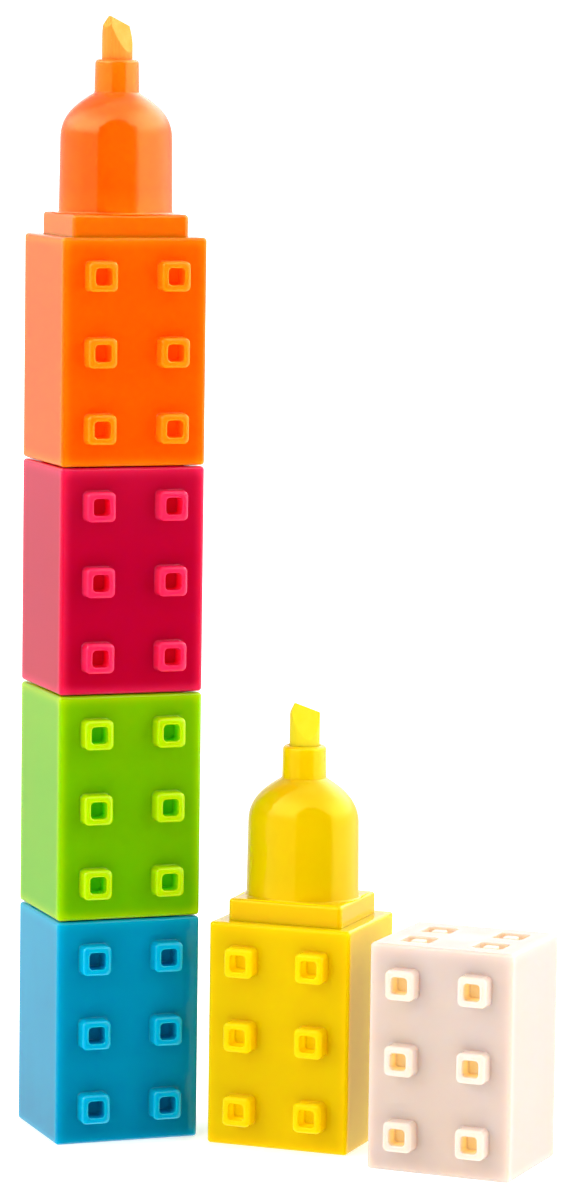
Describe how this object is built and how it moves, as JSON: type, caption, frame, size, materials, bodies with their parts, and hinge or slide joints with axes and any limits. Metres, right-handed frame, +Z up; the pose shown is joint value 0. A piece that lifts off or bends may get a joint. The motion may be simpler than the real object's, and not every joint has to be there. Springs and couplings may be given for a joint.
{
  "type": "stacking highlighter set",
  "caption": "Brick-shaped highlighters standing in a tower, where each hollow block is the cap of the marker below it, with a loose marker and a loose cap beside it.",
  "frame": {"origin": "middle of the whole set's box, on the surface that the blocks stand on", "axes": "+Z up along the tower, which the nibs point along; -Y is the studded front of the tower; +X is to the right of that front, towards the loose marker and cap"},
  "size_m": [0.077, 0.0692, 0.1882],
  "materials": {
    "blue_plastic": "glossy injection-moulded plastic, slightly translucent",
    "blue_felt": "bonded polyester felt soaked with fluorescent ink",
    "green_plastic": "glossy injection-moulded plastic, slightly translucent",
    "green_felt": "bonded polyester felt soaked with fluorescent ink",
    "pink_plastic": "glossy injection-moulded plastic, slightly translucent",
    "pink_felt": "bonded polyester felt soaked with fluorescent ink",
    "orange_plastic": "glossy injection-moulded plastic, slightly translucent",
    "orange_felt": "bonded polyester felt soaked with fluorescent ink",
    "yellow_plastic": "glossy injection-moulded plastic, slightly translucent",
    "yellow_felt": "bonded polyester felt soaked with fluorescent ink",
    "white_plastic": "glossy injection-moulded plastic, slightly translucent",
    "seal_plastic": "soft natural polyethylene"
  },
  "bodies": {
    "blue_marker": {"blue_block": "blue_plastic", "blue_barrel": "blue_plastic", "blue_nib": "blue_felt", "blue_reservoir": "blue_felt", "blue_seal_cup": "seal_plastic"},
    "green_marker": {"green_block": "green_plastic", "green_barrel": "green_plastic", "green_nib": "green_felt", "green_reservoir": "green_felt", "green_seal_cup": "seal_plastic"},
    "pink_marker": {"pink_block": "pink_plastic", "pink_barrel": "pink_plastic", "pink_nib": "pink_felt", "pink_reservoir": "pink_felt", "pink_seal_cup": "seal_plastic"},
    "orange_marker": {"orange_block": "orange_plastic", "orange_barrel": "orange_plastic", "orange_nib": "orange_felt", "orange_reservoir": "orange_felt", "orange_seal_cup": "seal_plastic"},
    "yellow_marker": {"yellow_block": "yellow_plastic", "yellow_barrel": "yellow_plastic", "yellow_nib": "yellow_felt", "yellow_reservoir": "yellow_felt", "yellow_seal_cup": "seal_plastic"},
    "spare_cap": {"cap_block": "white_plastic", "cap_seal": "seal_plastic"}
  },
  "joints": [
    {"name": "green_pull_off", "type": "slide", "parent": "blue_marker", "child": "green_marker", "axis": [0, 0, 1], "range_m": [0, 0.05]},
    {"name": "pink_pull_off", "type": "slide", "parent": "green_marker", "child": "pink_marker", "axis": [0, 0, 1], "range_m": [0, 0.05]},
    {"name": "orange_pull_off", "type": "slide", "parent": "pink_marker", "child": "orange_marker", "axis": [0, 0, 1], "range_m": [0, 0.05]},
    {"name": "yellow_lift", "type": "slide", "parent": "blue_marker", "child": "yellow_marker", "axis": [0, 0, 1], "range_m": [0, 0.08]},
    {"name": "cap_lift", "type": "slide", "parent": "blue_marker", "child": "spare_cap", "axis": [0, 0, 1], "range_m": [0, 0.08]}
  ]
}
